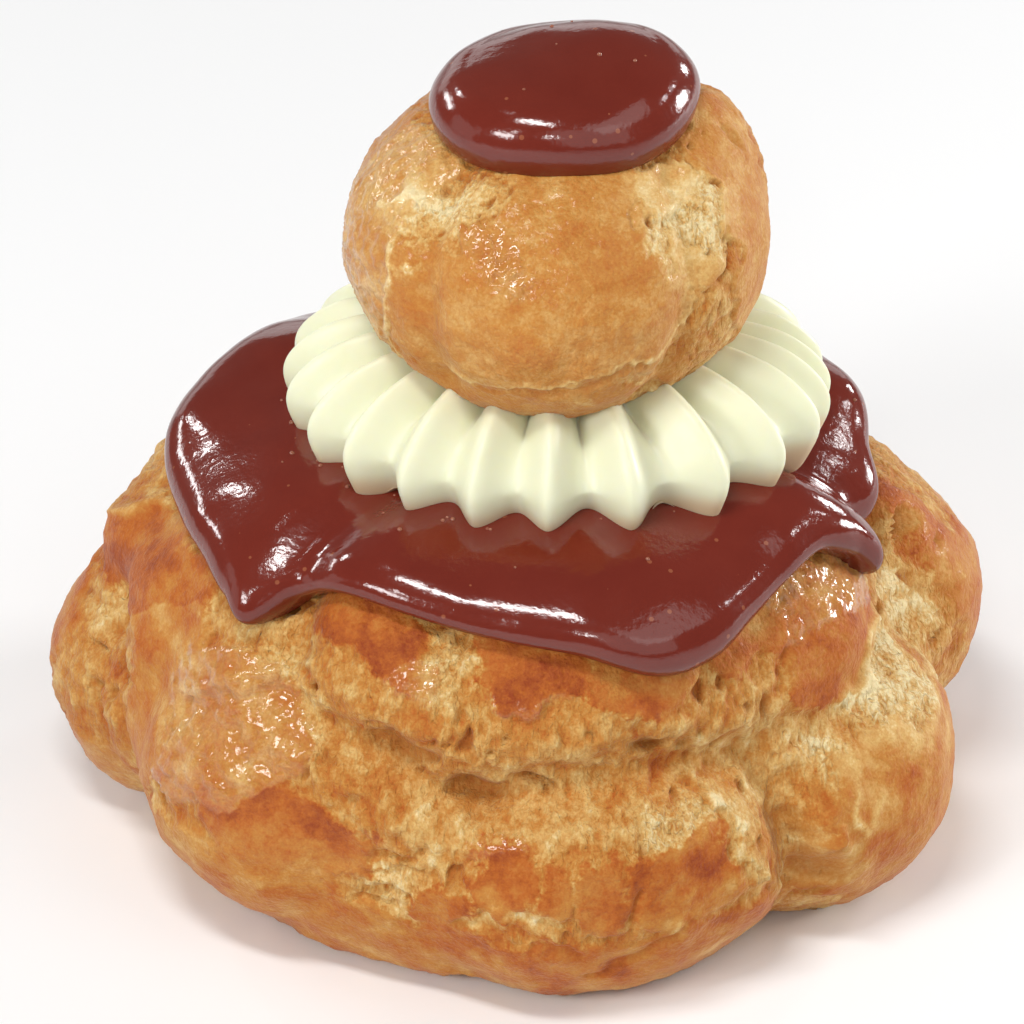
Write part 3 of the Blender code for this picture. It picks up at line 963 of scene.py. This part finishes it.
def crust_material(name, grain, ragged_edges):
    """Baked dough: skin where the crust's layer inside is above 0, and torn dough elsewhere."""
    made, tree, shader, coord = new_material(name)
    inside, skin_brown, torn_brown, hollow, leather, pulled = (
        add_node(tree, "Attribute", attribute_name=layer).outputs["Fac"]
        for layer in ("inside", "skin_brown", "torn_brown", "hollow", "leather", "pulled")
    )

    def cloud(vector, size, detail, distortion=0.0):
        """Noise around 0 with blobs of this size in millimetres."""
        return maths(tree, "SUBTRACT", texture(tree, vector, 1000 / size, detail, distortion), 0.5)

    fibre = cloud(upright(tree, coord, 0.28), 0.42 * grain, 3, 0.8)
    speck = cloud(coord, 0.45 * grain, 4)
    grit = cloud(coord, 0.2, 2)
    blotch = cloud(coord, 1.6 * grain, 4)
    ragged = maths(tree, "MULTIPLY_ADD", blotch, 2.2 * ragged_edges, inside)
    ragged = maths(tree, "MULTIPLY_ADD", speck, 1.2 * ragged_edges, ragged)
    skin_range = {"Value": ragged, "From Min": -0.35, "From Max": 0.4}
    skin = add_node(tree, "MapRange", skin_range, interpolation_type="SMOOTHSTEP").outputs[0]
    torn = maths(tree, "SUBTRACT", 1.0, skin)
    fibrous = maths(tree, "MULTIPLY", torn, maths(tree, "MULTIPLY_ADD", pulled, 0.55, 0.45))

    # The strands' raised crests are painted paler and the gaps between them browner: partly the
    # stretched dough's own paleness, partly painted light and shade that follow the bump.
    shift = maths(tree, "MULTIPLY", maths(tree, "MULTIPLY", fibre, fibrous), -1.1)
    for spots, share in ((speck, 0.34), (blotch, 0.36), (grit, 0.22)):
        shift = maths(tree, "MULTIPLY_ADD", spots, share, shift)
    browner = maths(tree, "SUBTRACT", skin_brown, torn_brown)
    brown = maths(tree, "MULTIPLY_ADD", browner, skin, torn_brown)
    colour = colour_ramp(tree, maths(tree, "ADD", brown, shift, clamp=True), CRUST_SHADES)
    # The dough's own browning and painted shade: pits and pockets are mixed towards dark brown by how
    # deep they lie.
    colour = mix_colour(tree, hollow, colour, (0.36, 0.12, 0.02, 1))
    tree.links.new(colour, shader.inputs["Base Color"])
    normal = crust_normal(tree, coord, grain, fibre, fibrous, speck, leather)
    tree.links.new(normal, shader.inputs["Normal"])
    add_egg_glaze(tree, shader, coord, leather)
    shader.inputs["Roughness"].default_value = 0.55
    shader.inputs["IOR"].default_value = 1.25
    shader.inputs["Sheen Weight"].default_value = 0.12
    shader.inputs["Sheen Roughness"].default_value = 0.4
    shader.inputs["Subsurface Weight"].default_value = 0.06
    shader.inputs["Subsurface Radius"].default_value = (1.0, 0.45, 0.15)
    shader.inputs["Subsurface Scale"].default_value = 1.0 * MM
    return made


def icing_material(name):
    """Glossy chocolate with faint clouds and small light flecks."""
    made, tree, shader, coord = new_material(name)
    cloud = texture(tree, coord, 260, 4)
    colour = mix_colour(tree, cloud, (0.135, 0.0145, 0.0075, 1), (0.165, 0.022, 0.012, 1))
    from_fleck = add_node(tree, "TexVoronoi", {"Vector": coord, "Scale": 420}).outputs["Distance"]
    fleck = maths(tree, "LESS_THAN", from_fleck, 0.09)
    colour = mix_colour(tree, maths(tree, "MULTIPLY", fleck, 0.6), colour, (0.34, 0.11, 0.05, 1))
    tree.links.new(colour, shader.inputs["Base Color"])
    waves = bump(tree, texture(tree, coord, 1500, 3), 0.08 * MM, 0.4)
    tree.links.new(waves, shader.inputs["Normal"])
    shader.inputs["Roughness"].default_value = 0.12
    shader.inputs["IOR"].default_value = 1.55
    return made


def froth_material(name):
    """The thin bright chocolate of the bubbles."""
    made, tree, shader, coord = new_material(name)
    cloud = texture(tree, coord, 2500, 2)
    colour = mix_colour(tree, cloud, (0.18, 0.03, 0.015, 1), (0.42, 0.18, 0.11, 1))
    tree.links.new(colour, shader.inputs["Base Color"])
    shader.inputs["Roughness"].default_value = 0.04
    return made


def cream_material(name):
    """Pale yellow cream, with the icing's brown painted at its foot as reflected light."""
    made, tree, shader, coord = new_material(name)
    cloud = texture(tree, coord, 300, 3)
    colour = mix_colour(tree, cloud, (0.76, 0.77, 0.54, 1), (0.80, 0.81, 0.61, 1))
    foot = add_node(tree, "Attribute", attribute_name="foot").outputs["Fac"]
    # Painted reflection: the foot is mixed towards tan, as if lit by the brown icing below.
    colour = mix_colour(tree, maths(tree, "MULTIPLY", foot, 0.7), colour, (0.62, 0.40, 0.22, 1))
    tree.links.new(colour, shader.inputs["Base Color"])
    grain = bump(tree, texture(tree, coord, 1500, 3), 0.05 * MM, 0.15)
    tree.links.new(grain, shader.inputs["Normal"])
    shader.inputs["Roughness"].default_value = 0.38
    shader.inputs["Subsurface Weight"].default_value = 0.4
    shader.inputs["Subsurface Radius"].default_value = (1.0, 0.8, 0.45)
    shader.inputs["Subsurface Scale"].default_value = 1.5 * MM
    return made


# ---------------- stage

# Each light's azimuth and rise as seen from the pastry, its distance, size and watts.
LIGHTS = {
    # These make the bright spots on the icing and the skin.
    "front_strip": (244, 67, 0.5, (0.2, 0.055), 1.1),
    "front_box": (224, 27, 0.6, (0.22, 0.1), 1.25),
    "small_spot": (233, 39, 0.6, (0.045, 0.045), 0.15),
    "plate_box": (268, 34, 0.6, (0.05, 0.04), 0.2),
    "left_spot": (135, 33, 0.5, (0.03, 0.03), 0.12),
    "rim_light": (146, 20, 0.5, (0.18, 0.035), 0.36),
    "high_spot": (170, 67, 0.5, (0.01, 0.01), 0.02),
    "right_box": (19, 9, 0.5, (0.12, 0.1), 1.3),
    "far_right_box": (47, 14, 0.5, (0.05, 0.05), 0.3),
    "flap_spot": (8, 32, 0.5, (0.02, 0.02), 0.06),
    "right_spot": (24, 30, 0.5, (0.02, 0.03), 0.07),
    # These light the whole pastry.
    "front_panel": (300, 30, 0.9, (0.9, 0.7), 1.6),
    "card": (330, 50, 0.6, (0.35, 0.25), 0.35),
    "left_panel": (185, 10, 0.8, (0.4, 0.4), 0.32),
    "back_panel": (95, 8, 0.9, (1.2, 0.25), 1.0),
}


def add_floor():
    """A pale floor, wide enough to fill the picture."""
    half = 3.0
    corners = [(-half, -half, 0), (half, -half, 0), (half, half, 0), (-half, half, 0)]
    mesh = bpy.data.meshes.new("floor")
    mesh.from_pydata(corners, [], [(0, 1, 2, 3)])
    floor = bpy.data.objects.new("floor", mesh)
    bpy.context.scene.collection.objects.link(floor)
    made = bpy.data.materials.new("pale_floor")
    made.use_nodes = True
    shader = made.node_tree.nodes["Principled BSDF"]
    shader.inputs["Base Color"].default_value = (0.93, 0.93, 0.93, 1)
    shader.inputs["Roughness"].default_value = 0.9
    mesh.materials.append(made)


def add_light(name, azimuth, rise, distance, size, power):
    """A soft rectangular light that looks at the middle of the pastry."""
    lamp = bpy.data.lights.new(name, "AREA")
    lamp.shape = "RECTANGLE"
    lamp.size, lamp.size_y = size
    lamp.energy = power
    light = bpy.data.objects.new(name, lamp)
    bpy.context.scene.collection.objects.link(light)
    back = Vector(unit(azimuth, rise))
    light.location = Vector((0, 0, 40 * MM)) + back * distance
    light.rotation_mode = "QUATERNION"
    light.rotation_quaternion = back.to_track_quat("Z", "Y")


def light_scene():
    """A dim white world and the lights, with colours shown as they are."""
    world = bpy.data.worlds.new("studio")
    bpy.context.scene.world = world
    world.use_nodes = True
    background = world.node_tree.nodes["Background"]
    background.inputs["Color"].default_value = (1, 1, 1, 1)
    background.inputs["Strength"].default_value = 0.14
    for name, settings in LIGHTS.items():
        add_light(name, *settings)
    bpy.context.scene.view_settings.view_transform = "Standard"


def add_camera():
    """The photograph's view, straight from the front and 33 degrees above."""
    rise = radians(33)
    distance = 0.6
    seen_width = 89.1 * MM
    sensor = 36
    camera = bpy.data.objects.new("camera", bpy.data.cameras.new("camera"))
    bpy.context.scene.collection.objects.link(camera)
    back = Vector((0, -cos(rise), sin(rise)))
    up = Vector((0, sin(rise), cos(rise)))
    # The middle of the pastry's outline, as seen from here.
    aim = Vector((-0.26 * MM, 0, 40 * MM)) - up * (8.23 * MM)
    camera.location = aim + back * distance
    camera.rotation_mode = "QUATERNION"
    camera.rotation_quaternion = back.to_track_quat("Z", "Y")
    camera.data.sensor_width = sensor
    camera.data.lens = sensor * distance / seen_width
    camera.data.clip_start = 0.05
    bpy.context.scene.camera = camera


# ---------------- the pieces


def add_crusts():
    large = Crust(
        LARGE_BUN, LARGE_ICING, LARGE_PLATES + back_plates(), LARGE_POCKETS,
        LARGE_MOUNDS, LARGE_TINTS, LARGE_SEAMS,
        spreads=[2, 15, 28, 38, *np.linspace(44, 118, 142), 128, 142, 158, 172],
        columns=620, grain=1.0, bold=1.0, torn=0.48,
    )
    small = Crust(
        SMALL_BUN, SMALL_ICING, SMALL_PLATES, SMALL_POCKETS,
        SMALL_MOUNDS, SMALL_TINTS, SMALL_SEAMS,
        spreads=[3, 15, 25, *np.linspace(32, 130, 140), 142, 155, 170],
        columns=420, grain=0.6, bold=0.5, torn=0.41,
    )
    large_finish = crust_material("large_choux_crust", grain=1.0, ragged_edges=1.0)
    small_finish = crust_material("small_choux_crust", grain=0.8, ragged_edges=0.35)
    add_piece(crust_mesh("large_crust", large), large_finish, "large_choux")
    add_piece(crust_mesh("small_crust", small), small_finish, "small_choux")


def add_icings():
    glaze = icing_material("chocolate_glaze")
    froth = froth_material("chocolate_froth")
    large_glaze = icing_mesh("large_glaze", LARGE_ICING, 480, 60, LARGE_SWELLS, LARGE_FOLDS)
    small_glaze = icing_mesh("small_glaze", SMALL_ICING, 300, 40, SMALL_SWELLS)
    add_piece(large_glaze, glaze, "large_icing")
    add_piece(small_glaze, glaze, "small_icing")
    add_piece(bubble_mesh("large_bubbles", large_glaze, 60, seed=3), froth, None)
    add_piece(bubble_mesh("small_bubbles", small_glaze, 6, seed=6), froth, None)


def main():
    add_crusts()
    add_icings()
    add_piece(cream_mesh("piped_cream"), cream_material("cream"), "cream_collar")
    add_floor()
    light_scene()
    add_camera()


main()
